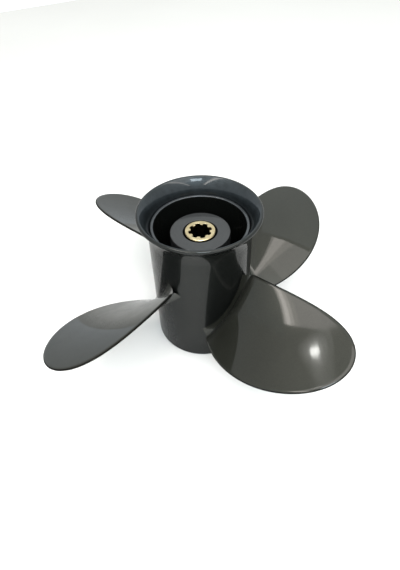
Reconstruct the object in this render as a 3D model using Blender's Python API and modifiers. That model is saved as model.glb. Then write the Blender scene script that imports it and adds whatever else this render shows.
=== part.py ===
"""Four-bladed outboard motor propeller with a hollow hub that the exhaust leaves through.

Metres, +Z up. The propeller stands on the forward end of its hub, so +Z points aft.
The origin is on the shaft's axis, in the plane of the forward end. blade_1 points along +X.
"""

import math

import bmesh
import bpy
from mathutils import Vector

# Driving dimensions: 9 1/4 inch diameter, 10 inch pitch, right-hand rotation
TIP_RADIUS = 0.1175
PITCH = 0.254
BLADE_COUNT = 4
HUB_LENGTH = 0.1062

# Gap left between neighbouring solids that touch on the real propeller
SEAT_GAP = 0.0003

# Outer barrel, which narrows a little from the forward end to the aft end
BARREL_FORWARD_RADIUS = 0.0343
BARREL_AFT_RADIUS = 0.0330
BARREL_EDGE_RADIUS = 0.0016
BORE_FORWARD_RADIUS = 0.0306
BORE_AFT_RADIUS = 0.0293
BORE_CHAMFER = 0.0006
SHOULDER_Z = 0.0905
LIP_RADIUS = 0.0313
LIP_TOP_Z = 0.0956
LIP_ROUNDING = 0.0005

# Flared diffuser ring around the barrel's aft lip
RIM_RADIUS = 0.0390
RIM_BEAD = 0.0013
FLARE_HANDLE = 0.0092
FLARE_RUN_IN = 0.0028

# Boss in the middle, its rubber bush and the splined brass sleeve
BOSS_AFT_Z = 0.0894
BOSS_FORWARD_Z = 0.0115
BOSS_AFT_RADIUS = 0.0193
BOSS_FORWARD_RADIUS = 0.0208
BOSS_EDGE = 0.0006
BOSS_END_WALL = 0.0052
BUSH_SEAT_RADIUS = 0.0155
SLEEVE_HOLE_RADIUS = 0.0106
SLEEVE_RADIUS = 0.0099
SLEEVE_AFT_Z = 0.0899
SLEEVE_FORWARD_Z = 0.0085
SLEEVE_CHAMFER = 0.0004
SPLINE_COUNT = 8
SPLINE_MAJOR_RADIUS = 0.0075
SPLINE_MINOR_RADIUS = 0.0061
SPLINE_GROOVE_WIDTH = 0.0027
SPLINE_PHASE_DEG = 27.4

# Ribs that carry the boss inside the barrel
RIB_COUNT = 4
RIB_PHASE_DEG = 45.0
RIB_THICKNESS = 0.0050
RIB_FORWARD_Z = 0.0200
RIB_AFT_Z = 0.0620
RIB_EDGE = 0.0012

# Blades: spanwise stations run from 0 at the root radius to 1 at the tip
BLADE_ROOT_RADIUS = 0.0390
BLADE_START_RADIUS = 0.0315
BLADE_ROOT_Z = 0.0470
HALF_CHORD = (0.0289, 0.0142, -0.0016)
TIP_ROUNDNESS = 2.6
SKEW = 0.0220
RAKE = 0.0066
ROOT_THICKNESS = 0.0070
EDGE_THICKNESS = 0.0015
THINNING = 0.55
FACE_SHARE = 0.10
FILLET_HEIGHT = 0.0065
FILLET_WIDTH = 0.0036

# Facets
TURNED_STEPS = 48
BOSS_STEPS = 32
SPAN_ROWS = 12
ROOT_ROWS = 3
CHORD_COLUMNS = 10
SHARP_DEG = 40

PAINT = ("grey_paint", (0.075, 0.080, 0.080), 0.28, 0.6)
BRASS = ("brass", (0.72, 0.60, 0.36), 0.35, 1.0)
RUBBER = ("black_rubber", (0.02, 0.02, 0.02), 0.8, 0.0)


def clear_scene():
    for obj in list(bpy.data.objects):
        bpy.data.objects.remove(obj, do_unlink=True)


def new_collection(name):
    collection = bpy.data.collections.new(name)
    bpy.context.scene.collection.children.link(collection)
    return collection


def new_material(name, color, roughness, metallic):
    material = bpy.data.materials.new(name)
    material.use_nodes = True
    shader = material.node_tree.nodes["Principled BSDF"]
    shader.inputs["Base Color"].default_value = (*color, 1.0)
    shader.inputs["Roughness"].default_value = roughness
    shader.inputs["Metallic"].default_value = metallic
    return material


def new_object(name, mesh, collection, material=None):
    obj = bpy.data.objects.new(name, mesh)
    collection.objects.link(obj)
    if material:
        mesh.materials.append(material)
    return obj


def as_cutter(obj):
    obj.hide_render = True
    obj.display_type = "WIRE"
    return obj


def arc(center, radius, start_deg, end_deg, steps):
    """Points on an arc in the (radius, z) plane, both ends included."""
    points = []
    for i in range(steps + 1):
        angle = math.radians(start_deg + (end_deg - start_deg) * i / steps)
        points.append((center[0] + radius * math.cos(angle), center[1] + radius * math.sin(angle)))
    return points


def bezier(start, start_handle, end_handle, end, steps):
    """Points on a cubic curve in the (radius, z) plane, both ends included."""
    points = []
    for i in range(steps + 1):
        u = i / steps
        weights = ((1 - u) ** 3, 3 * u * (1 - u) ** 2, 3 * u * u * (1 - u), u**3)
        corners = (start, start_handle, end_handle, end)
        points.append(tuple(sum(w * c[axis] for w, c in zip(weights, corners)) for axis in (0, 1)))
    return points


def turned(name, profile, collection, material=None, steps=TURNED_STEPS, closed=True):
    """A solid turned about Z from a profile that runs down its outer side. A closed profile comes
    back up its inner side; an open one starts and ends on the axis."""
    mesh = bpy.data.meshes.new(name)
    points = [(radius, 0.0, z) for radius, z in profile]
    edges = [(i, i + 1) for i in range(len(points) - 1)]
    if closed:
        edges.append((len(points) - 1, 0))
    mesh.from_pydata(points, edges, [])
    obj = new_object(name, mesh, collection, material)
    screw = obj.modifiers.new("turn", "SCREW")
    screw.axis = "Z"
    screw.angle = 2 * math.pi
    screw.steps = steps
    screw.render_steps = steps
    screw.use_merge_vertices = True
    screw.merge_threshold = 0.00001
    return obj


def cut(obj, cutter, operation="DIFFERENCE"):
    boolean = obj.modifiers.new(cutter.name, "BOOLEAN")
    boolean.operation = operation
    boolean.object = cutter
    boolean.solver = "EXACT"


def barrel_radius(z):
    """Outer radius of the barrel at height z."""
    return BARREL_FORWARD_RADIUS + (BARREL_AFT_RADIUS - BARREL_FORWARD_RADIUS) * z / SHOULDER_Z


def bore_radius(z):
    """Inner radius of the barrel at height z."""
    return BORE_FORWARD_RADIUS + (BORE_AFT_RADIUS - BORE_FORWARD_RADIUS) * z / LIP_TOP_Z


def boss_radius(z):
    """Outer radius of the boss at height z."""
    share = (z - BOSS_FORWARD_Z) / (BOSS_AFT_Z - BOSS_FORWARD_Z)
    return BOSS_FORWARD_RADIUS + (BOSS_AFT_RADIUS - BOSS_FORWARD_RADIUS) * share


def hub_barrel(collection, material):
    edge = BARREL_EDGE_RADIUS
    profile = [
        (LIP_RADIUS - LIP_ROUNDING, LIP_TOP_Z),
        (LIP_RADIUS, LIP_TOP_Z - LIP_ROUNDING),
        (LIP_RADIUS, SHOULDER_Z),
        (BARREL_AFT_RADIUS, SHOULDER_Z),
    ]
    profile += arc((barrel_radius(edge) - edge, edge), edge, 0, -90, 4)
    profile += [
        (BORE_FORWARD_RADIUS + BORE_CHAMFER, 0.0),
        (BORE_FORWARD_RADIUS, BORE_CHAMFER),
        (BORE_AFT_RADIUS, LIP_TOP_Z - LIP_ROUNDING),
        (BORE_AFT_RADIUS + LIP_ROUNDING, LIP_TOP_Z),
    ]
    return turned("hub_barrel", profile, collection, material)


def diffuser_ring(collection, material):
    """The flared ring: a bell inside and outside, closed by a round bead at the rim."""
    bead_center = (RIM_RADIUS - RIM_BEAD, HUB_LENGTH - RIM_BEAD)
    bead = arc(bead_center, RIM_BEAD, 130, -45, 8)
    inner_foot_radius = LIP_RADIUS + SEAT_GAP
    foot_z = SHOULDER_Z + SEAT_GAP
    run_in = FLARE_RUN_IN
    outside = bezier(
        bead[-1],
        (bead[-1][0] - run_in, bead[-1][1] - run_in),
        (BARREL_AFT_RADIUS, foot_z + FLARE_HANDLE),
        (BARREL_AFT_RADIUS, foot_z),
        7,
    )
    inside = bezier(
        (inner_foot_radius, LIP_TOP_Z - FLARE_RUN_IN),
        (inner_foot_radius, LIP_TOP_Z + FLARE_RUN_IN),
        (bead[0][0] - run_in, bead[0][1] - run_in),
        bead[0],
        7,
    )
    profile = bead + outside[1:] + [(inner_foot_radius, foot_z)] + inside[:-1]
    return turned("diffuser_ring", profile, collection, material)


def inner_hub(collection, material):
    end_wall_z = BOSS_AFT_Z - BOSS_END_WALL
    profile = [
        (BOSS_AFT_RADIUS - BOSS_EDGE, BOSS_AFT_Z),
        (BOSS_AFT_RADIUS, BOSS_AFT_Z - BOSS_EDGE),
        (BOSS_FORWARD_RADIUS, BOSS_FORWARD_Z + BOSS_EDGE),
        (BOSS_FORWARD_RADIUS - BOSS_EDGE, BOSS_FORWARD_Z),
        (BUSH_SEAT_RADIUS, BOSS_FORWARD_Z),
        (BUSH_SEAT_RADIUS, end_wall_z),
        (SLEEVE_HOLE_RADIUS, end_wall_z),
        (SLEEVE_HOLE_RADIUS, BOSS_AFT_Z),
    ]
    return turned("inner_hub", profile, collection, material, BOSS_STEPS)


def rubber_bush(collection, material):
    top_z = BOSS_AFT_Z - BOSS_END_WALL - SEAT_GAP
    bottom_z = BOSS_FORWARD_Z + BOSS_EDGE
    outer = BUSH_SEAT_RADIUS - SEAT_GAP
    inner = SLEEVE_RADIUS + SEAT_GAP
    profile = [(outer, top_z), (outer, bottom_z), (inner, bottom_z), (inner, top_z)]
    return turned("rubber_bush", profile, collection, material, BOSS_STEPS)


def spline_outline():
    """The splined hole's outline: parallel-sided grooves between lands on the minor circle."""
    half_width = SPLINE_GROOVE_WIDTH / 2
    at_minor = math.asin(half_width / SPLINE_MINOR_RADIUS)
    at_major = math.asin(half_width / SPLINE_MAJOR_RADIUS)
    pitch = 2 * math.pi / SPLINE_COUNT
    points = []
    for groove in range(SPLINE_COUNT):
        middle = math.radians(SPLINE_PHASE_DEG) + groove * pitch
        corners = [
            (SPLINE_MINOR_RADIUS, middle - at_minor),
            (SPLINE_MAJOR_RADIUS, middle - at_major),
            (SPLINE_MAJOR_RADIUS, middle),
            (SPLINE_MAJOR_RADIUS, middle + at_major),
            (SPLINE_MINOR_RADIUS, middle + at_minor),
            (SPLINE_MINOR_RADIUS, middle + pitch / 2),
        ]
        points += [(r * math.cos(angle), r * math.sin(angle)) for r, angle in corners]
    return points


def spline_cutter(collection):
    """A prism with the splined hole's outline, longer than the sleeve."""
    mesh = bpy.data.meshes.new("spline_cutter")
    shape = bmesh.new()
    outline = [shape.verts.new((x, y, 0.0)) for x, y in spline_outline()]
    face = shape.faces.new(outline)
    grown = bmesh.ops.extrude_face_region(shape, geom=[face])["geom"]
    top = [item for item in grown if isinstance(item, bmesh.types.BMVert)]
    bmesh.ops.translate(shape, vec=(0.0, 0.0, HUB_LENGTH), verts=top)
    bmesh.ops.recalc_face_normals(shape, faces=shape.faces)
    shape.to_mesh(mesh)
    shape.free()
    return as_cutter(new_object("spline_cutter", mesh, collection))


def spline_sleeve(collection, cutters, material):
    bevel = SLEEVE_CHAMFER
    inner = SPLINE_MINOR_RADIUS - bevel
    profile = [
        (SLEEVE_RADIUS - bevel, SLEEVE_AFT_Z),
        (SLEEVE_RADIUS, SLEEVE_AFT_Z - bevel),
        (SLEEVE_RADIUS, SLEEVE_FORWARD_Z + bevel),
        (SLEEVE_RADIUS - bevel, SLEEVE_FORWARD_Z),
        (inner, SLEEVE_FORWARD_Z),
        (inner, SLEEVE_AFT_Z),
    ]
    sleeve = turned("spline_sleeve", profile, collection, material, BOSS_STEPS)
    cut(sleeve, spline_cutter(cutters))
    return sleeve


def exhaust_passage(collection):
    """The ring-shaped space between boss and barrel, less the seat gap on both."""
    top_z = BOSS_AFT_Z
    profile = [
        (bore_radius(top_z) - SEAT_GAP, top_z),
        (bore_radius(0.0) - SEAT_GAP, 0.0),
        (boss_radius(0.0) + SEAT_GAP, 0.0),
        (boss_radius(top_z) + SEAT_GAP, top_z),
    ]
    return as_cutter(turned("exhaust_passage", profile, collection))


def ribs(collection, cutters, material):
    """Flat ribs along the axis, shaped to the boss and the barrel where they meet them."""
    passage = exhaust_passage(cutters)
    reach = BORE_FORWARD_RADIUS + RIB_THICKNESS
    length = RIB_AFT_Z - RIB_FORWARD_Z
    middle_z = (RIB_AFT_Z + RIB_FORWARD_Z) / 2
    for number in range(RIB_COUNT):
        mesh = bpy.data.meshes.new(f"rib_{number + 1}")
        shape = bmesh.new()
        bmesh.ops.create_cube(shape, size=1.0)
        bmesh.ops.scale(shape, vec=(reach, RIB_THICKNESS, length), verts=shape.verts)
        bmesh.ops.translate(shape, vec=(reach / 2, 0.0, middle_z), verts=shape.verts)
        ends = [e for e in shape.edges if abs(e.verts[0].co.x - e.verts[1].co.x) > reach / 2]
        bmesh.ops.bevel(shape, geom=ends, offset=RIB_EDGE, segments=2, profile=0.5, affect="EDGES")
        shape.to_mesh(mesh)
        shape.free()
        rib = new_object(f"rib_{number + 1}", mesh, collection, material)
        angle = math.radians(RIB_PHASE_DEG) + number * 2 * math.pi / RIB_COUNT
        rib.rotation_euler.z = angle
        cut(rib, passage, "INTERSECT")


def station_radius(station):
    return BLADE_ROOT_RADIUS + station * (TIP_RADIUS - BLADE_ROOT_RADIUS)


def fillet(station):
    """How far the blade swells on every side where it runs into the barrel."""
    height = (station_radius(station) - BARREL_AFT_RADIUS) / FILLET_HEIGHT
    return FILLET_WIDTH * (1 - min(max(height, 0.0), 1.0)) ** 2


def blade_point(station, across, above):
    """A point of the blade. across runs from -1 at the leading border to 1 at the trailing one, and
    above is the height over the pitch surface, square to it in the cylinder of that radius."""
    radius = station_radius(station)
    half_chord = HALF_CHORD[0] + HALF_CHORD[1] * station + HALF_CHORD[2] * station**2
    chordwise = SKEW * station * abs(station) + across * (half_chord + fillet(station))
    slope = math.atan2(PITCH, 2 * math.pi * radius)
    turn = (chordwise * math.cos(slope) - above * math.sin(slope)) / radius
    height = chordwise * math.sin(slope) + above * math.cos(slope)
    z = BLADE_ROOT_Z + RAKE * station + height
    return Vector((radius * math.cos(turn), radius * math.sin(turn), z))


def blade_thickness(station, across):
    """A lens in every section, with one thin thickness all along the outline."""
    outwards = max(station, 0.0)
    body = (ROOT_THICKNESS - EDGE_THICKNESS) * (1 - THINNING * outwards)
    lens = max(1 - across**2 - outwards**TIP_ROUNDNESS, 0.0)
    return EDGE_THICKNESS + body * lens + 2 * fillet(station)


def blade_rows():
    """(station, width share) of each row: a few inside the barrel, then from the root to the tip,
    crowding together where the outline turns round the tip."""
    start = (BLADE_START_RADIUS - BLADE_ROOT_RADIUS) / (TIP_RADIUS - BLADE_ROOT_RADIUS)
    rows = [(start * (1 - row / ROOT_ROWS), 1.0) for row in range(ROOT_ROWS)]
    for row in range(SPAN_ROWS + 1):
        turn = math.pi / 2 * (row / SPAN_ROWS) ** (TIP_ROUNDNESS / 2)
        rows.append((math.sin(turn) ** (2 / TIP_ROUNDNESS), math.cos(turn)))
    return rows


def blade_side(shape, share):
    """Rows of vertices from the leading to the trailing border, on the face or on the back. The
    last row is the tip, one vertex repeated."""
    shares = [math.sin((i / CHORD_COLUMNS - 0.5) * math.pi) for i in range(CHORD_COLUMNS + 1)]
    rows = []
    for station, width in blade_rows()[:-1]:
        places = [(station, across * width) for across in shares]
        points = [blade_point(*place, share * blade_thickness(*place)) for place in places]
        rows.append([shape.verts.new(point) for point in points])
    tip = shape.verts.new(blade_point(1.0, 0.0, share * EDGE_THICKNESS))
    rows.append([tip] * (CHORD_COLUMNS + 1))
    return rows


def border(rows):
    """One side's outline: up the leading border, over the tip and down the trailing border."""
    leading = [row[0] for row in rows]
    trailing = [row[-1] for row in rows[:-1]]
    return leading + trailing[::-1]


def strip(shape, lower, upper):
    """Faces between two lines of vertices, triangles where they meet in one vertex."""
    for i in range(len(lower) - 1):
        corners = (lower[i], lower[i + 1], upper[i + 1], upper[i])
        shape.faces.new(tuple(dict.fromkeys(corners)))


def blade_mesh():
    """One blade along +X: face and back on the same grid, joined round the outline."""
    shape = bmesh.new()
    sides = [blade_side(shape, share) for share in (FACE_SHARE, FACE_SHARE - 1)]
    for rows in sides:
        for lower, upper in zip(rows, rows[1:]):
            strip(shape, lower, upper)
    strip(shape, border(sides[0]), border(sides[1]))
    shape.faces.new(sides[0][0] + sides[1][0][::-1])
    bmesh.ops.recalc_face_normals(shape, faces=shape.faces)
    mesh = bpy.data.meshes.new("blade")
    shape.to_mesh(mesh)
    shape.free()
    mesh.shade_smooth()
    mesh.set_sharp_from_angle(angle=math.radians(SHARP_DEG))
    return mesh


def barrel_clearance(collection):
    """The barrel's outer shape made larger by the seat gap, and longer at the forward end."""
    low, high = -BARREL_FORWARD_RADIUS, SHOULDER_Z
    profile = [
        (0.0, high),
        (barrel_radius(high) + SEAT_GAP, high),
        (barrel_radius(low) + SEAT_GAP, low),
        (0.0, low),
    ]
    return as_cutter(turned("barrel_clearance", profile, collection, closed=False))


def blades(collection, cutters, material):
    mesh = blade_mesh()
    mesh.materials.append(material)
    clearance = barrel_clearance(cutters)
    for number in range(BLADE_COUNT):
        blade = new_object(f"blade_{number + 1}", mesh, collection)
        blade.rotation_euler.z = number * 2 * math.pi / BLADE_COUNT
        cut(blade, clearance)


def build():
    clear_scene()
    parts = new_collection("outboard_propeller")
    cutters = new_collection("cutters")
    paint = new_material(*PAINT)
    brass = new_material(*BRASS)
    rubber = new_material(*RUBBER)
    hub_barrel(parts, paint)
    diffuser_ring(parts, paint)
    inner_hub(parts, paint)
    ribs(parts, cutters, paint)
    rubber_bush(parts, rubber)
    spline_sleeve(parts, cutters, brass)
    blades(parts, cutters, paint)


build()
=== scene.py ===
"""The looks of a four-bladed outboard motor propeller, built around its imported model.

Metres, +Z up and aft. The propeller stands on the forward end of its hub. The barrel, flared ring,
boss, ribs and blades look like one casting in dark grey paint, with fillets where they meet.
"""

import math

import bmesh
import bpy
from mathutils import Matrix, Vector

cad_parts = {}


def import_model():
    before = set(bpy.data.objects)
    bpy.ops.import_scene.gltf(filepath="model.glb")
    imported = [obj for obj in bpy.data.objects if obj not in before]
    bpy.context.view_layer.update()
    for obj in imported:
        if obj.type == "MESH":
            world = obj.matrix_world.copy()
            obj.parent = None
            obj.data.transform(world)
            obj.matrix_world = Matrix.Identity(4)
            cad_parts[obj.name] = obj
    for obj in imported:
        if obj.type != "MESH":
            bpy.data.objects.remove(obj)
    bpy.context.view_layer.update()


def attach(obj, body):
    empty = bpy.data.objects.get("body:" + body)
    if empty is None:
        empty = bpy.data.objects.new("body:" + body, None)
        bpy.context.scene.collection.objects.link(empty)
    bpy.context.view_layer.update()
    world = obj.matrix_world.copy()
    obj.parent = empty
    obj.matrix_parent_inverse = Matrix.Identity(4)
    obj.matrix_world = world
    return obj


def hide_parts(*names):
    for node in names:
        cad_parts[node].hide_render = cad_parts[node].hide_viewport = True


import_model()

# The whole propeller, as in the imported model
TIP_RADIUS = 0.1175
PITCH = 0.254
BLADE_COUNT = 4
HUB_LENGTH = 0.1062

# Barrel, with the roundings of its foot, its bore and its lip
BARREL_FORWARD_RADIUS = 0.0343
BARREL_AFT_RADIUS = 0.0330
FOOT_ROUNDING = 0.00208
BORE_ROUNDING = 0.0006
BORE_FORWARD_RADIUS = 0.0306
BORE_AFT_RADIUS = 0.0293
SHOULDER_Z = 0.0905
LIP_RADIUS = 0.0313
LIP_TOP_Z = 0.0956
LIP_ROUNDING = 0.0006

# Flared ring, and how far it and the barrel are tucked into each other
RIM_RADIUS = 0.0390
RIM_BEAD = 0.0013
BEAD_DEG = (130, -45)
FLARE_HANDLE = 0.0092
FLARE_RUN_IN = 0.0028
SEAT_GAP = 0.0003
TUCK = 0.0020
TUCK_DEPTH = 0.0001

# Boss, rubber bush and splined sleeve
BOSS_AFT_Z = 0.0894
BOSS_FORWARD_Z = 0.0115
BOSS_AFT_RADIUS = 0.0193
BOSS_FORWARD_RADIUS = 0.0208
BOSS_EDGE = 0.0005
BOSS_END_WALL = 0.0052
BUSH_SEAT_RADIUS = 0.0155
BUSH_CLEARANCE = 0.0001
BUSH_HOLLOW = 0.0010
BUSH_SAG = 0.0015
SLEEVE_HOLE_RADIUS = 0.0111
SLEEVE_HOLE_EDGES = (0.0002, 0.0003)
SLEEVE_RADIUS = 0.0099
SLEEVE_AFT_Z = 0.0899
SLEEVE_FORWARD_Z = 0.0085
SLEEVE_CHAMFER = 0.0004
HOLE_CHAMFER = 0.0002
SPLINE_COUNT = 8
SPLINE_MAJOR_RADIUS = 0.0075
SPLINE_MINOR_RADIUS = 0.0061
SPLINE_PHASE_DEG = 27.4
GROOVE_HALF_TURN = 0.24
GROOVE_EDGE_TURN = 0.055
GROOVE_CROWN = 0.12

# Ribs
RIB_COUNT = 4
RIB_PHASE_DEG = 45.0
RIB_THICKNESS = 0.0050
RIB_FORWARD_Z = 0.0200
RIB_AFT_Z = 0.0620
RIB_FILLET = 0.0022

# Blades. Stations run from 0 at the root radius to 1 at the tip.
BLADE_ROOT_RADIUS = 0.0390
BLADE_ROOT_Z = 0.0470
HALF_CHORD = (0.0289, 0.0142, -0.0016)
TIP_ROUNDNESS = 2.6
SKEW = 0.0220
RAKE = 0.0066
ROOT_THICKNESS = 0.0070
EDGE_THICKNESS = 0.0015
OUTLINE_INSET = 0.0008
THINNING = 0.55
FACE_SHARE = 0.10
EDGE_ROLL = 0.00022
EDGE_ROLL_SHARE = 0.035
FILLET_SPREAD = 1.35
FILLET_RIDGE = 0.0002
ROOT_SINK = 0.0015

# Mesh fineness
TURNED_STEPS = 160
CORNER_STEPS = 4
FINE_CORNER_STEPS = 6
BEAD_STEPS = 16
FLARE_STEPS = 20
SAG_STEPS = 10
GROOVE_STEPS = 24
RIB_END_STEPS = 12
RIB_FILLET_STEPS = 6
SPAN_ROWS = 44
FILLET_ROWS = 14
CHORD_COLUMNS = 36
EDGE_STEPS = 6
MERGE_DISTANCE = 0.00001
CORNER_HANDLE = 0.45

# The photograph's camera
PHOTO_HEIGHT = 570
FOCAL_PX = 401.8
CAMERA_AZIMUTH_DEG = 59.5
CAMERA_ELEVATION_DEG = 46.8
CAMERA_DISTANCE = 0.2918
CAMERA_TARGET_Z = 0.0392
CAMERA_ROLL_DEG = -2.2
CENTER_OFFSET_PX = 2.2
SENSOR_MM = 36.0

# Studio. Places in the ceiling are shares of its height over the camera's target.
CEILING_HEIGHT = 0.53
LAYER_DROP = 0.001
OVAL_TURN_DEG = -11.3
STRIP_REACH = (-2.2, 0.0)
KEY_PLACE = (-0.272, 0.033)
FLOOR_HALF_WIDTH = 1.1
WORLD_STRENGTH = 1.55


# Nodes and materials


class Nodes:
    """A material's node tree, with short calls for the nodes used here."""

    def __init__(self, name):
        self.material = bpy.data.materials.new(name)
        self.material.use_nodes = True
        self.tree = self.material.node_tree
        self.shader = self.tree.nodes["Principled BSDF"]
        self.place = self.add("ShaderNodeTexCoord").outputs["Object"]

    def add(self, kind, **settings):
        node = self.tree.nodes.new(kind)
        for key, value in settings.items():
            setattr(node, key, value)
        return node

    def link(self, start, end):
        self.tree.links.new(start, end)

    def height(self):
        """Height over the floor."""
        split = self.add("ShaderNodeSeparateXYZ")
        self.link(self.place, split.inputs["Vector"])
        return split.outputs["Z"]

    def noise(self, size, detail=2.0):
        """Noise whose lumps are about size metres across, from 0 to 1."""
        node = self.add("ShaderNodeTexNoise")
        node.inputs["Scale"].default_value = 1.0 / size
        node.inputs["Detail"].default_value = detail
        self.link(self.place, node.inputs["Vector"])
        return node.outputs["Fac"]

    def cells(self, size):
        """Random values, one for each cell about size metres across."""
        node = self.add("ShaderNodeTexVoronoi")
        node.inputs["Scale"].default_value = 1.0 / size
        self.link(self.place, node.inputs["Vector"])
        split = self.add("ShaderNodeSeparateColor")
        self.link(node.outputs["Color"], split.inputs["Color"])
        return split.outputs["Red"]

    def ramp(self, factor, low, high, low_color, high_color):
        node = self.add("ShaderNodeValToRGB")
        first, last = node.color_ramp.elements
        first.position, last.position = low, high
        first.color, last.color = (*low_color, 1.0), (*high_color, 1.0)
        self.link(factor, node.inputs["Fac"])
        return node.outputs["Color"]

    def span(self, factor, low, high, to_low, to_high):
        """factor from low..high carried over to to_low..to_high."""
        node = self.add("ShaderNodeMapRange")
        values = (low, high, to_low, to_high)
        for key, value in zip(("From Min", "From Max", "To Min", "To Max"), values):
            node.inputs[key].default_value = value
        self.link(factor, node.inputs["Value"])
        return node.outputs["Result"]

    def mixed(self, factor, first, second):
        node = self.add("ShaderNodeMix", data_type="RGBA")
        self.link(factor, node.inputs["Factor"])
        self.link(first, node.inputs["A"])
        self.link(second, node.inputs["B"])
        return node.outputs["Result"]

    def bump(self, height, depth, below=None):
        """Bump whose height of 1 stands depth metres proud."""
        node = self.add("ShaderNodeBump")
        node.inputs["Distance"].default_value = depth
        self.link(height, node.inputs["Height"])
        if below:
            self.link(below, node.inputs["Normal"])
        return node.outputs["Normal"]

    def set(self, **values):
        for key, value in values.items():
            self.shader.inputs[key.replace("_", " ")].default_value = value


def painted_highlight_on_lip(paint):
    """1 on the top of the barrel's lip, which gets a painted highlight in a lighter bluish grey,
    and 0 below it.
    """
    return paint.span(paint.height(), LIP_TOP_Z - 0.0009, LIP_TOP_Z - 0.0004, 0.0, 1.0)


def painted_light_facing_the_axis(paint):
    """1 where the surface faces the axis and 0 where it faces away. It puts painted light, a
    lighter and bluer grey, on the flared ring's inside.
    """
    flat = paint.add("ShaderNodeVectorMath", operation="MULTIPLY")
    flat.inputs[1].default_value = (1.0, 1.0, 0.0)
    paint.link(paint.place, flat.inputs[0])
    outwards = paint.add("ShaderNodeVectorMath", operation="DOT_PRODUCT")
    paint.link(flat.outputs["Vector"], outwards.inputs[0])
    paint.link(paint.add("ShaderNodeNewGeometry").outputs["Normal"], outwards.inputs[1])
    return paint.span(outwards.outputs["Value"], -RIM_RADIUS / 3, RIM_RADIUS / 3, 1.0, 0.0)


def grey_paint(name, color, rough, gloss, metallic=0.75, other_color=None, where=None):
    """Dark metallic paint of one mean colour: flakes, orange peel and the slow waviness of a
    casting, under a clear coat as strong as gloss. The part where where(paint) is 1 has
    other_color, which carries painted light here: a highlight on the lip, light on the ring's
    inside."""
    paint = Nodes(name)
    tones = [tuple(share * value for value in color) for share in (0.55, 0.9, 1.1, 1.45)]
    flakes = paint.ramp(paint.cells(0.00025), 0.0, 1.0, tones[0], tones[3])
    shade = paint.ramp(paint.noise(0.03), 0.3, 0.7, tones[1], tones[2])
    even = paint.span(paint.noise(0.004), 0.0, 1.0, 0.25, 0.45)
    tone = paint.mixed(even, shade, flakes)
    if where:
        other_tones = [tuple(share * value for value in other_color) for share in (0.85, 1.15)]
        other = paint.ramp(paint.noise(0.004), 0.3, 0.7, *other_tones)
        tone = paint.mixed(where(paint), tone, other)
    paint.link(tone, paint.shader.inputs["Base Color"])
    rough = paint.span(paint.noise(0.008, 4.0), 0.3, 0.7, rough - 0.04, rough + 0.04)
    paint.link(rough, paint.shader.inputs["Roughness"])
    waves = paint.bump(paint.noise(0.018, 1.0), 0.00002)
    peel = paint.bump(paint.noise(0.0016, 2.0), 0.000004, waves)
    paint.link(peel, paint.shader.inputs["Normal"])
    paint.link(waves, paint.shader.inputs["Coat Normal"])
    paint.set(Metallic=metallic, Specular_IOR_Level=0.2, Specular_Tint=(0.4, 0.4, 0.4, 1.0))
    paint.set(Coat_Weight=gloss, Coat_Roughness=0.04, Coat_IOR=1.45)
    return paint.material


def turned_brass():
    """Pale brass with the fine rings that a lathe leaves and a little tarnish on its aft face, and
    near-black painted shade on everything below that face, all down the splined hole."""
    brass = Nodes("turned_brass")
    clean = brass.ramp(brass.noise(0.003, 4.0), 0.3, 0.7, (0.42, 0.34, 0.20), (0.52, 0.45, 0.29))
    tarnish = brass.ramp(brass.noise(0.0012, 3.0), 0.3, 0.7, (0.42, 0.31, 0.16), (0.62, 0.50, 0.28))
    share = brass.span(brass.noise(0.006, 3.0), 0.45, 0.75, 0.0, 0.5)
    # Painted shade: the hole's walls and every brass surface below the aft face are near black.
    hole_shade_tones = ((0.010, 0.006, 0.003), (0.05, 0.03, 0.015))
    painted_hole_shade = brass.ramp(brass.noise(0.002, 3.0), 0.3, 0.7, *hole_shade_tones)
    face = brass.span(brass.height(), SLEEVE_AFT_Z - 0.0010, SLEEVE_AFT_Z - 0.0003, 0.0, 1.0)
    metal = brass.mixed(share, clean, tarnish)
    brass.link(brass.mixed(face, painted_hole_shade, metal), brass.shader.inputs["Base Color"])
    rings = brass.add("ShaderNodeTexWave", wave_type="RINGS", rings_direction="Z")
    rings.inputs["Scale"].default_value = 900.0
    rings.inputs["Distortion"].default_value = 0.4
    brass.link(brass.place, rings.inputs["Vector"])
    brass.link(brass.bump(rings.outputs["Fac"], 0.00001), brass.shader.inputs["Normal"])
    rough = brass.span(brass.noise(0.002, 3.0), 0.3, 0.7, 0.28, 0.45)
    brass.link(rough, brass.shader.inputs["Roughness"])
    brass.set(Metallic=1.0)
    return brass.material


def black_rubber():
    rubber = Nodes("black_rubber")
    tones = ((0.010, 0.010, 0.011), (0.026, 0.026, 0.027))
    color = rubber.ramp(rubber.noise(0.004, 5.0), 0.3, 0.7, *tones)
    rubber.link(color, rubber.shader.inputs["Base Color"])
    grain = rubber.bump(rubber.noise(0.0006, 3.0), 0.00003)
    rubber.link(grain, rubber.shader.inputs["Normal"])
    rubber.set(Roughness=0.75)
    return rubber.material


def floor_finish():
    floor = Nodes("pale_floor")
    color = floor.ramp(floor.noise(0.4, 4.0), 0.3, 0.7, (0.75, 0.75, 0.74), (0.78, 0.78, 0.77))
    floor.link(color, floor.shader.inputs["Base Color"])
    floor.set(Roughness=1.0, Specular_IOR_Level=0.0)
    return floor.material


# Shapes


def new_object(name, mesh, material):
    obj = bpy.data.objects.new(name, mesh)
    bpy.context.scene.collection.objects.link(obj)
    mesh.materials.append(material)
    return obj


def placed(obj, slot, *nodes):
    """Puts a finished piece on the propeller in place of the nodes that it stands for."""
    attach(obj, "root")
    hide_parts(*nodes)


def arc(center, radius, start_deg, end_deg, steps):
    """Points on an arc in the (radius, z) plane, both ends included."""
    points = []
    for i in range(steps + 1):
        angle = math.radians(start_deg + (end_deg - start_deg) * i / steps)
        points.append((center[0] + radius * math.cos(angle), center[1] + radius * math.sin(angle)))
    return points


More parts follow.
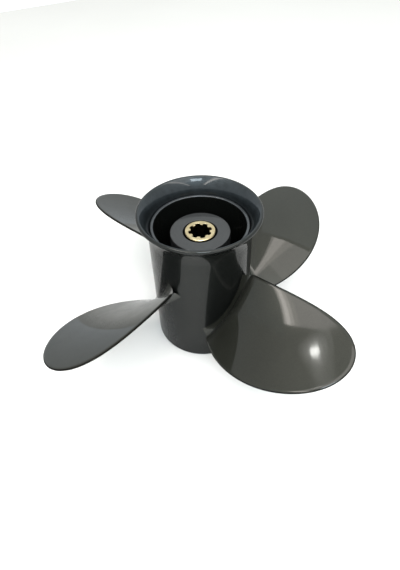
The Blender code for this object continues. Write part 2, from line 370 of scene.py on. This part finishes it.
def bezier(start, start_handle, end_handle, end, steps):
    """Points on a cubic curve in the (radius, z) plane, both ends included."""
    points = []
    for i in range(steps + 1):
        u = i / steps
        weights = ((1 - u) ** 3, 3 * u * (1 - u) ** 2, 3 * u * u * (1 - u), u**3)
        corners = (start, start_handle, end_handle, end)
        points.append(tuple(sum(w * c[axis] for w, c in zip(weights, corners)) for axis in (0, 1)))
    return points


def rounded(corner, before, after, radius, steps=CORNER_STEPS):
    """The corner of a profile as a short curve that starts and ends radius from it."""
    corner = Vector(corner)
    start = corner + (Vector(before) - corner).normalized() * radius
    end = corner + (Vector(after) - corner).normalized() * radius
    share = 1 - CORNER_HANDLE
    return bezier(start, start.lerp(corner, share), end.lerp(corner, share), end, steps)


def rounded_profile(corners, radii):
    """A closed profile with each corner rounded by its own radius."""
    profile = []
    for i, (corner, radius) in enumerate(zip(corners, radii)):
        profile += rounded(corner, corners[i - 1], corners[(i + 1) % len(corners)], radius)
    return profile


def turned(name, profile, material):
    """A ring turned about Z. The closed profile runs down its outer side and up its inner side."""
    mesh = bpy.data.meshes.new(name)
    points = [(radius, 0.0, z) for radius, z in profile]
    edges = [(i, (i + 1) % len(points)) for i in range(len(points))]
    mesh.from_pydata(points, edges, [])
    obj = new_object(name, mesh, material)
    screw = obj.modifiers.new("turn", "SCREW")
    screw.axis = "Z"
    screw.angle = 2 * math.pi
    screw.steps = TURNED_STEPS
    screw.render_steps = TURNED_STEPS
    screw.use_merge_vertices = True
    screw.merge_threshold = MERGE_DISTANCE
    obj.modifiers.new("even_shading", "WEIGHTED_NORMAL").weight = 100
    return obj


def mesh_of(name, shape, sharp_deg=50.0):
    """The finished mesh of a bmesh, facing outwards and smooth but for its sharp edges."""
    bmesh.ops.recalc_face_normals(shape, faces=shape.faces)
    if shape.calc_volume(signed=True) < 0:
        bmesh.ops.reverse_faces(shape, faces=shape.faces)
    mesh = bpy.data.meshes.new(name)
    shape.to_mesh(mesh)
    shape.free()
    mesh.shade_smooth()
    mesh.set_sharp_from_angle(angle=math.radians(sharp_deg))
    return mesh


def strip(shape, lower, upper, closed=False, material_index=0):
    """Quads between two rows of vertices, where a row may be one vertex repeated."""
    count = len(lower)
    for i in range(count if closed else count - 1):
        corners = [lower[i], lower[(i + 1) % count], upper[(i + 1) % count], upper[i]]
        corners = list(dict.fromkeys(corners))
        if len(corners) > 2:
            shape.faces.new(corners).material_index = material_index


def barrel_radius(z):
    """Outer radius of the barrel at height z."""
    return BARREL_FORWARD_RADIUS + (BARREL_AFT_RADIUS - BARREL_FORWARD_RADIUS) * z / SHOULDER_Z


def bore_radius(z):
    """Inner radius of the barrel at height z."""
    return BORE_FORWARD_RADIUS + (BORE_AFT_RADIUS - BORE_FORWARD_RADIUS) * z / LIP_TOP_Z


def boss_radius(z):
    """Outer radius of the boss at height z."""
    share = (z - BOSS_FORWARD_Z) / (BOSS_AFT_Z - BOSS_FORWARD_Z)
    return BOSS_FORWARD_RADIUS + (BOSS_AFT_RADIUS - BOSS_FORWARD_RADIUS) * share


def barrel(material):
    """The barrel with its lip. Its shoulder is tucked into the flared ring, so that the two meet in
    one smooth surface."""
    tucked_z = SHOULDER_Z + TUCK
    outer = [(BARREL_AFT_RADIUS - TUCK_DEPTH, tucked_z), (BARREL_AFT_RADIUS, SHOULDER_Z)]
    foot = [(BARREL_FORWARD_RADIUS, 0.0), (BORE_FORWARD_RADIUS, 0.0)]
    lip = [(BORE_AFT_RADIUS, LIP_TOP_Z), (LIP_RADIUS, LIP_TOP_Z)]
    profile = outer + rounded(foot[0], outer[-1], foot[1], FOOT_ROUNDING, FINE_CORNER_STEPS)
    profile += rounded(foot[1], foot[0], lip[0], BORE_ROUNDING)
    profile += rounded(lip[0], foot[1], lip[1], LIP_ROUNDING, FINE_CORNER_STEPS)
    profile += rounded(lip[1], lip[0], (LIP_RADIUS, tucked_z), LIP_ROUNDING, FINE_CORNER_STEPS)
    profile.append((LIP_RADIUS, tucked_z))
    placed(turned("cast_barrel", profile, material), "grey_paint", "hub_barrel")


def diffuser(material):
    """The flared ring: a bell inside and outside, closed by a round bead at the rim. Its foot is
    tucked into the barrel's wall."""
    bead_center = (RIM_RADIUS - RIM_BEAD, HUB_LENGTH - RIM_BEAD)
    bead = arc(bead_center, RIM_BEAD, *BEAD_DEG, BEAD_STEPS)
    inner_foot_radius = LIP_RADIUS + SEAT_GAP
    run_in = FLARE_RUN_IN
    outside = bezier(
        bead[-1],
        (bead[-1][0] - run_in, bead[-1][1] - run_in),
        (BARREL_AFT_RADIUS - TUCK_DEPTH, SHOULDER_Z + FLARE_HANDLE),
        (BARREL_AFT_RADIUS, SHOULDER_Z),
        FLARE_STEPS,
    )
    inside = bezier(
        (inner_foot_radius, LIP_TOP_Z - run_in),
        (inner_foot_radius, LIP_TOP_Z + run_in),
        (bead[0][0] - run_in, bead[0][1] - run_in),
        bead[0],
        FLARE_STEPS,
    )
    foot_z = SHOULDER_Z - TUCK
    foot = [(BARREL_AFT_RADIUS - TUCK_DEPTH, foot_z), (inner_foot_radius, foot_z)]
    profile = bead + outside[1:] + foot + inside[:-1]
    placed(turned("flared_ring", profile, material), "grey_paint", "diffuser_ring")


def boss(material):
    end_wall_z = BOSS_AFT_Z - BOSS_END_WALL
    corners = [
        (BOSS_AFT_RADIUS, BOSS_AFT_Z),
        (BOSS_FORWARD_RADIUS, BOSS_FORWARD_Z),
        (BUSH_SEAT_RADIUS, BOSS_FORWARD_Z),
        (BUSH_SEAT_RADIUS, end_wall_z),
        (SLEEVE_HOLE_RADIUS, end_wall_z),
        (SLEEVE_HOLE_RADIUS, BOSS_AFT_Z),
    ]
    radii = [BOSS_EDGE, BOSS_EDGE * 2, BOSS_EDGE, BOSS_EDGE, *SLEEVE_HOLE_EDGES]
    obj = turned("cast_boss", rounded_profile(corners, radii), material)
    placed(obj, "grey_paint", "inner_hub")


def bush(material):
    """The rubber bush, whose free forward end sags in a little between boss and sleeve."""
    top_z = BOSS_AFT_Z - BOSS_END_WALL - SEAT_GAP
    bottom_z = BOSS_FORWARD_Z + BOSS_EDGE
    outer = BUSH_SEAT_RADIUS - BUSH_CLEARANCE
    inner = SLEEVE_RADIUS + BUSH_CLEARANCE
    low_end = bezier(
        (outer, bottom_z),
        (outer - BUSH_HOLLOW, bottom_z + BUSH_SAG),
        (inner + BUSH_HOLLOW, bottom_z + BUSH_SAG),
        (inner, bottom_z),
        SAG_STEPS,
    )
    profile = [(outer, top_z)] + low_end + [(inner, top_z)]
    placed(turned("torsion_bush", profile, material), "black_rubber", "rubber_bush")


def spline_radius(angle):
    """Radius of the splined hole at an angle from a groove's middle: round grooves and lands."""
    away = abs(angle)
    start = GROOVE_HALF_TURN + GROOVE_EDGE_TURN
    rise = min(max((start - away) / (2 * GROOVE_EDGE_TURN), 0.0), 1.0)
    rise = rise * rise * (3 - 2 * rise)
    crown = 1 - GROOVE_CROWN * min(away / GROOVE_HALF_TURN, 1.0) ** 2
    return SPLINE_MINOR_RADIUS + (SPLINE_MAJOR_RADIUS - SPLINE_MINOR_RADIUS) * rise * crown


def splined_sleeve(material):
    """The brass sleeve: loops round the outside and the splined hole, joined at chamfered ends."""
    shape = bmesh.new()
    count = SPLINE_COUNT * GROOVE_STEPS
    pitch = 2 * math.pi / SPLINE_COUNT
    phase = math.radians(SPLINE_PHASE_DEG)
    angles = [phase + (i / GROOVE_STEPS - 0.5) * pitch for i in range(count)]
    groove = [spline_radius((i / GROOVE_STEPS - 0.5) * pitch) for i in range(GROOVE_STEPS)]
    holes = groove * SPLINE_COUNT
    wide_holes = [radius + HOLE_CHAMFER for radius in holes]

    def loop(radii, z):
        places = zip(angles, radii)
        return [shape.verts.new((r * math.cos(a), r * math.sin(a), z)) for a, r in places]

    outside = [SLEEVE_RADIUS] * count
    narrow = [SLEEVE_RADIUS - SLEEVE_CHAMFER] * count
    loops = [
        loop(wide_holes, SLEEVE_AFT_Z),
        loop(narrow, SLEEVE_AFT_Z),
        loop(outside, SLEEVE_AFT_Z - SLEEVE_CHAMFER),
        loop(outside, SLEEVE_FORWARD_Z + SLEEVE_CHAMFER),
        loop(narrow, SLEEVE_FORWARD_Z),
        loop(wide_holes, SLEEVE_FORWARD_Z),
        loop(holes, SLEEVE_FORWARD_Z + HOLE_CHAMFER),
        loop(holes, SLEEVE_AFT_Z - HOLE_CHAMFER),
    ]
    for i, lower in enumerate(loops):
        strip(shape, lower, loops[(i + 1) % len(loops)], closed=True)
    obj = new_object("splined_sleeve", mesh_of("splined_sleeve", shape, 30.0), material)
    placed(obj, "brass", "spline_sleeve")


def rib_mesh():
    """A rib along +X with round edges, spreading in fillets onto the boss and the barrel."""
    half = RIB_THICKNESS / 2
    outline = []
    for middle_z, start in ((RIB_AFT_Z - half, 0.0), (RIB_FORWARD_Z + half, math.pi)):
        for i in range(RIB_END_STEPS + 1):
            angle = start + math.pi * i / RIB_END_STEPS
            outline.append((Vector((math.cos(angle), math.sin(angle))), middle_z))
    fillet = [math.pi / 2 * i / RIB_FILLET_STEPS for i in range(RIB_FILLET_STEPS + 1)]
    rows = [(False, angle) for angle in fillet] + [(True, angle) for angle in reversed(fillet)]
    shape = bmesh.new()
    loops = []
    for on_the_bore, angle in rows:
        swell = RIB_FILLET * (1 - math.sin(angle))
        lift = RIB_FILLET * (1 - math.cos(angle))
        line = []
        for direction, middle_z in outline:
            y = direction.x * (half + swell)
            z = middle_z + direction.y * (half + swell)
            wall = bore_radius(z) - lift if on_the_bore else boss_radius(z) + lift
            line.append(shape.verts.new((math.sqrt(wall**2 - y**2), y, z)))
        loops.append(line)
    for lower, upper in zip(loops, loops[1:]):
        strip(shape, lower, upper, closed=True)
    shape.faces.new(loops[0])
    shape.faces.new(loops[-1])
    return mesh_of("rib", shape)


def ribs(material):
    mesh = rib_mesh()
    mesh.materials.append(material)
    for number in range(RIB_COUNT):
        obj = bpy.data.objects.new(f"cast_rib_{number + 1}", mesh)
        bpy.context.scene.collection.objects.link(obj)
        obj.rotation_euler.z = math.radians(RIB_PHASE_DEG) + number * 2 * math.pi / RIB_COUNT
        placed(obj, "grey_paint", f"rib_{number + 1}")


def blade_point(station, across, above):
    """A point of the blade. across runs from -1 at the leading border to 1 at the trailing one, and
    above is the height over the pitch surface, square to it in the cylinder of that radius."""
    reach = TIP_RADIUS - OUTLINE_INSET - BLADE_ROOT_RADIUS
    radius = BLADE_ROOT_RADIUS + station * reach
    half_chord = HALF_CHORD[0] + HALF_CHORD[1] * station + HALF_CHORD[2] * station**2
    chordwise = SKEW * station**2 + across * (half_chord - OUTLINE_INSET)
    slope = math.atan2(PITCH, 2 * math.pi * radius)
    turn = (chordwise * math.cos(slope) - above * math.sin(slope)) / radius
    height = chordwise * math.sin(slope) + above * math.cos(slope)
    z = BLADE_ROOT_Z + RAKE * station + height
    return Vector((radius * math.cos(turn), radius * math.sin(turn), z))


def inside_the_outline(station, across):
    """0 on the blade's outline, rising to 1 at the middle of the root."""
    return 1 - across**2 - station**TIP_ROUNDNESS


def blade_thickness(station, across):
    """A lens in every section, with one thin thickness all along the outline."""
    body = (ROOT_THICKNESS - EDGE_THICKNESS) * (1 - THINNING * station)
    return EDGE_THICKNESS + body * max(inside_the_outline(station, across), 0.0)


def edge_roll(station, across):
    """How far the face rolls over towards its border."""
    return EDGE_ROLL * max(1 - inside_the_outline(station, across) / EDGE_ROLL_SHARE, 0.0) ** 2


def blade_rows():
    """(station, width share) from the root to the tip, evenly spaced near the root and crowding
    together where the outline turns round the tip."""
    rows = []
    for row in range(SPAN_ROWS + 1):
        turn = math.pi / 2 * (row / SPAN_ROWS) ** (TIP_ROUNDNESS / 2)
        rows.append((math.sin(turn) ** (2 / TIP_ROUNDNESS), math.cos(turn)))
    return rows


def blade_sides(rows):
    """Rows of points on the face and on the back, from the leading to the trailing border."""
    shares = [math.sin((i / CHORD_COLUMNS - 0.5) * math.pi) for i in range(CHORD_COLUMNS + 1)]
    sides = []
    for share, roll in ((FACE_SHARE, 1), (FACE_SHARE - 1, 0)):
        side = []
        for station, width in rows:
            places = [(station, across * width) for across in shares]
            heights = [share * blade_thickness(*p) - roll * edge_roll(*p) for p in places]
            side.append([blade_point(*p, height) for p, height in zip(places, heights)])
        sides.append(side)
    return sides


def border(side):
    """The outline of one side: up the leading border, over the tip and down the trailing one."""
    return [row[0] for row in side[:-1]] + [side[-1][0]] + [row[-1] for row in side[-2::-1]]


def edge_points(sides):
    """For each place on the outline, the points of the round edge between face and back."""
    face, back = border(sides[0]), border(sides[1])
    middles = [(a + b) / 2 for a, b in zip(face, back)]
    edge = []
    for i, middle in enumerate(middles):
        along = middles[min(i + 1, len(middles) - 1)] - middles[max(i - 1, 0)]
        through = (face[i] - back[i]) / 2
        outwards = along.cross(through).normalized() * through.length
        ring = []
        for step in range(1, EDGE_STEPS):
            angle = math.pi * step / EDGE_STEPS
            ring.append(middle + through * math.cos(angle) + outwards * math.sin(angle))
        edge.append(ring)
    return edge


def root_loop(sides, edge):
    """The closed section at the root: face, trailing edge, back and leading edge."""
    return sides[0][0] + edge[-1] + sides[1][0][::-1] + edge[0][::-1]


def swollen(loop, angle):
    """The root section carried down the fillet: angle runs from a quarter turn, on the blade, to 0
    on the barrel, where the fillet runs out along the barrel's surface. The half of the fillet next
    to the blade has a faint ridge."""
    flat = [Vector((BLADE_ROOT_RADIUS * math.atan2(p.y, p.x), p.z)) for p in loop]
    points = []
    for i, (around, z) in enumerate(flat):
        along = flat[(i + 1) % len(flat)] - flat[i - 1]
        normal = Vector((along.y, -along.x)).normalized()
        fillet = BLADE_ROOT_RADIUS - barrel_radius(z)
        ridge = FILLET_RIDGE * max(math.sin(4 * min(math.pi / 2 - angle, math.pi / 4)), 0.0)
        swell = fillet * FILLET_SPREAD * (1 - math.sin(angle)) + ridge
        around, z = Vector((around, z)) + normal * swell
        radius = barrel_radius(z) + fillet * (1 - math.cos(angle))
        turn = around / BLADE_ROOT_RADIUS
        points.append(Vector((radius * math.cos(turn), radius * math.sin(turn), z)))
    return points


def blade_mesh():
    """A blade along +X: its two sides, its round edge with the second material, which is painted
    shade, its fillet, and a root that is sunk into the barrel's wall."""
    sides = blade_sides(blade_rows())
    edge = edge_points(sides)
    shape = bmesh.new()
    face, back = ([[shape.verts.new(p) for p in row] for row in side[:-1]] for side in sides)
    tips = [shape.verts.new(side[-1][0]) for side in sides]
    for side, tip in zip((face, back), tips):
        side.append([tip] * (CHORD_COLUMNS + 1))
        for lower, upper in zip(side, side[1:]):
            strip(shape, lower, upper)
    rings = [[shape.verts.new(p) for p in ring] for ring in edge]
    starts, ends = border(face), border(back)
    lines = [[start] + ring + [end] for start, ring, end in zip(starts, rings, ends)]
    for lower, upper in zip(lines, lines[1:]):
        # The round edge takes the second material: near-black painted shade.
        strip(shape, lower, upper, material_index=1)
    root = root_loop(sides, edge)
    above = root_loop((face, back), rings)
    for step in range(1, FILLET_ROWS + 1):
        angle = math.pi / 2 * (1 - step / FILLET_ROWS)
        below = [shape.verts.new(p) for p in swollen(root, angle)]
        strip(shape, below, above, closed=True)
        above = below
    sunk = []
    for vert in above:
        outwards = Vector((vert.co.x, vert.co.y, 0.0)).normalized()
        sunk.append(shape.verts.new(vert.co - outwards * ROOT_SINK))
    strip(shape, sunk, above, closed=True)
    shape.faces.new(sunk)
    return mesh_of("cast_blade", shape)


def blades(material, edge_shade_material):
    mesh = blade_mesh()
    mesh.materials.append(material)
    mesh.materials.append(edge_shade_material)
    for number in range(BLADE_COUNT):
        obj = bpy.data.objects.new(f"cast_blade_{number + 1}", mesh)
        bpy.context.scene.collection.objects.link(obj)
        obj.rotation_euler.z = number * 2 * math.pi / BLADE_COUNT
        placed(obj, "grey_paint", f"blade_{number + 1}")


# Stage, light and camera


def level_axes():
    """The level directions to the camera's right and away from the camera."""
    azimuth = math.radians(CAMERA_AZIMUTH_DEG)
    right = Vector((math.cos(azimuth), math.sin(azimuth), 0.0))
    return right, Vector((-right.y, right.x, 0.0))


def ceiling_light(name, across, behind, radiance, color, layer=0, oval=False):
    """A soft light lying in the ceiling, or in one of the layers just below it. across and behind
    give where it starts and ends to the camera's right and away from the camera, as shares of the
    ceiling's height. radiance is how bright it looks, where white paper in the scene is about 1."""
    right, away = level_axes()
    light = bpy.data.lights.new(name, "AREA")
    light.shape = "ELLIPSE" if oval else "RECTANGLE"
    light.size = (across[1] - across[0]) * CEILING_HEIGHT
    light.size_y = (behind[1] - behind[0]) * CEILING_HEIGHT
    filled = math.pi / 4 if oval else 1.0
    light.energy = radiance * math.pi * filled * light.size * light.size_y
    light.color = color
    obj = bpy.data.objects.new(name, light)
    middle = right * (across[0] + across[1]) / 2 + away * (behind[0] + behind[1]) / 2
    height = CAMERA_TARGET_Z + CEILING_HEIGHT - layer * LAYER_DROP
    obj.location = middle * CEILING_HEIGHT + Vector((0.0, 0.0, height))
    obj.rotation_euler.z = math.radians(CAMERA_AZIMUTH_DEG + (OVAL_TURN_DEG if oval else 0.0))
    bpy.context.scene.collection.objects.link(obj)


def lights():
    """Two long bright strips with soft edges, the wide panels between and beside them, a lamp, and
    the key light in its halo."""
    warm = (1.0, 0.94, 0.88)
    cool = (0.80, 0.92, 1.0)
    left_edges = (-0.551, -0.530, -0.505, -0.455, -0.415, -0.370)
    for edges in zip(left_edges, left_edges[1:], (3.5, 9.0, 14.0, 9.0, 5.5)):
        ceiling_light("left_strip", edges[:2], STRIP_REACH, edges[2], warm)
    right_edges = (0.640, 0.690, 0.770, 0.792)
    for edges in zip(right_edges, right_edges[1:], (5.0, 8.0, 4.0)):
        ceiling_light("right_strip", edges[:2], STRIP_REACH, edges[2], warm)
    ceiling_light("left_panel", (-0.370, 0.1), (-0.4, 0.0), 4.2, (1.0, 0.94, 0.92))
    ceiling_light("right_panel", (0.1, 0.640), (-0.5, 0.0), 3.2, (1.0, 0.96, 0.93))
    ceiling_light("near_panel", (0.1, 0.640), (-1.1, -0.5), 1.9, (1.0, 0.98, 0.95))
    ceiling_light("far_panel", (-0.2, 0.9), (0.04, 1.3), 0.75, (0.85, 0.96, 1.0))
    ceiling_light("side_panel", (-1.5, -0.551), (-1.2, 0.06), 0.2, (0.60, 0.85, 1.0))
    ceiling_light("lamp", (-0.12, 0.25), (-1.05, -0.70), 22.0, cool, layer=1)
    halo = ((0.14, 0.022, 1.4), (0.10, 0.014, 2.0), (0.065, 0.0085, 3.5), (0.040, 0.0048, 45.0))
    for layer, (wide, deep, radiance) in enumerate(halo, 1):
        across = (KEY_PLACE[0] - wide, KEY_PLACE[0] + wide)
        behind = (KEY_PLACE[1] - deep, KEY_PLACE[1] + deep)
        ceiling_light("key", across, behind, radiance, (1.0, 1.0, 0.96), layer, oval=True)


def world():
    """Soft light from all round, a little bluer and brighter at the horizon."""
    scene_world = bpy.data.worlds.new("studio")
    scene_world.use_nodes = True
    tree = scene_world.node_tree
    direction = tree.nodes.new("ShaderNodeTexCoord").outputs["Generated"]
    split = tree.nodes.new("ShaderNodeSeparateXYZ")
    tree.links.new(direction, split.inputs["Vector"])
    ramp = tree.nodes.new("ShaderNodeValToRGB")
    low, high = ramp.color_ramp.elements
    low.position, high.position = 0.0, 0.7
    low.color, high.color = (0.87, 0.94, 1.0, 1.0), (0.70, 0.70, 0.67, 1.0)
    tree.links.new(split.outputs["Z"], ramp.inputs["Fac"])
    background = tree.nodes["Background"]
    tree.links.new(ramp.outputs["Color"], background.inputs["Color"])
    background.inputs["Strength"].default_value = WORLD_STRENGTH
    bpy.context.scene.world = scene_world


def stage(material):
    shape = bmesh.new()
    bmesh.ops.create_grid(shape, x_segments=4, y_segments=4, size=FLOOR_HALF_WIDTH)
    mesh = bpy.data.meshes.new("floor")
    shape.to_mesh(mesh)
    shape.free()
    new_object("floor", mesh, material)


def camera():
    """The camera at the photograph's place, looking at the axis from above."""
    azimuth = math.radians(CAMERA_AZIMUTH_DEG)
    elevation = math.radians(CAMERA_ELEVATION_DEG)
    roll = math.radians(CAMERA_ROLL_DEG)
    flat = math.cos(elevation)
    back = Vector((math.sin(azimuth) * flat, -math.cos(azimuth) * flat, math.sin(elevation)))
    right = level_axes()[0]
    up = back.cross(right)
    image_right = right * math.cos(roll) + up * math.sin(roll)
    image_up = up * math.cos(roll) - right * math.sin(roll)
    place = Vector((0.0, 0.0, CAMERA_TARGET_Z)) + back * CAMERA_DISTANCE
    data = bpy.data.cameras.new("camera")
    data.sensor_width = SENSOR_MM
    data.lens = FOCAL_PX / PHOTO_HEIGHT * SENSOR_MM
    data.shift_x = -CENTER_OFFSET_PX / PHOTO_HEIGHT
    data.clip_start = 0.01
    obj = bpy.data.objects.new("camera", data)
    bpy.context.scene.collection.objects.link(obj)
    rotation = Matrix((image_right, image_up, back)).transposed().to_4x4()
    obj.matrix_world = Matrix.Translation(place) @ rotation
    bpy.context.scene.camera = obj


def build():
    grey, shaded_grey, dark = (0.0200, 0.0209, 0.0170), (0.0106, 0.0120, 0.0112), (0.005, 0.005, 0.004)
    # Painted highlight: the top of the barrel's lip in a lighter bluish grey.
    lip = {"other_color": (0.060, 0.066, 0.072), "where": painted_highlight_on_lip}
    # Painted light: the inside of the flared ring in a lighter, bluer grey.
    inside = {"other_color": (0.0235, 0.0290, 0.0325), "where": painted_light_facing_the_axis}
    gloss = grey_paint("gloss_grey_paint", grey, rough=0.38, gloss=0.60, metallic=0.5)
    # Painted shade: the barrel and the flared ring take a darker copy of the blades' grey.
    barrel(grey_paint("barrel_grey_paint", shaded_grey, rough=0.38, gloss=0.42, **lip))
    diffuser(grey_paint("ring_grey_paint", shaded_grey, rough=0.40, gloss=0.5, **inside))
    # Painted shade: the blades' round edges are near black.
    blades(gloss, grey_paint("edge_painted_shade_paint", dark, rough=0.6, gloss=0.1))
    ribs(gloss)
    # Painted light: the boss takes a lighter copy of the grey paint for its upturned aft face.
    boss(grey_paint("boss_grey_paint", (0.047, 0.049, 0.051), rough=0.5, gloss=0.4))
    bush(black_rubber())
    splined_sleeve(turned_brass())
    stage(floor_finish())
    world()
    lights()
    bpy.context.scene.view_settings.view_transform = "Standard"
    camera()


build()
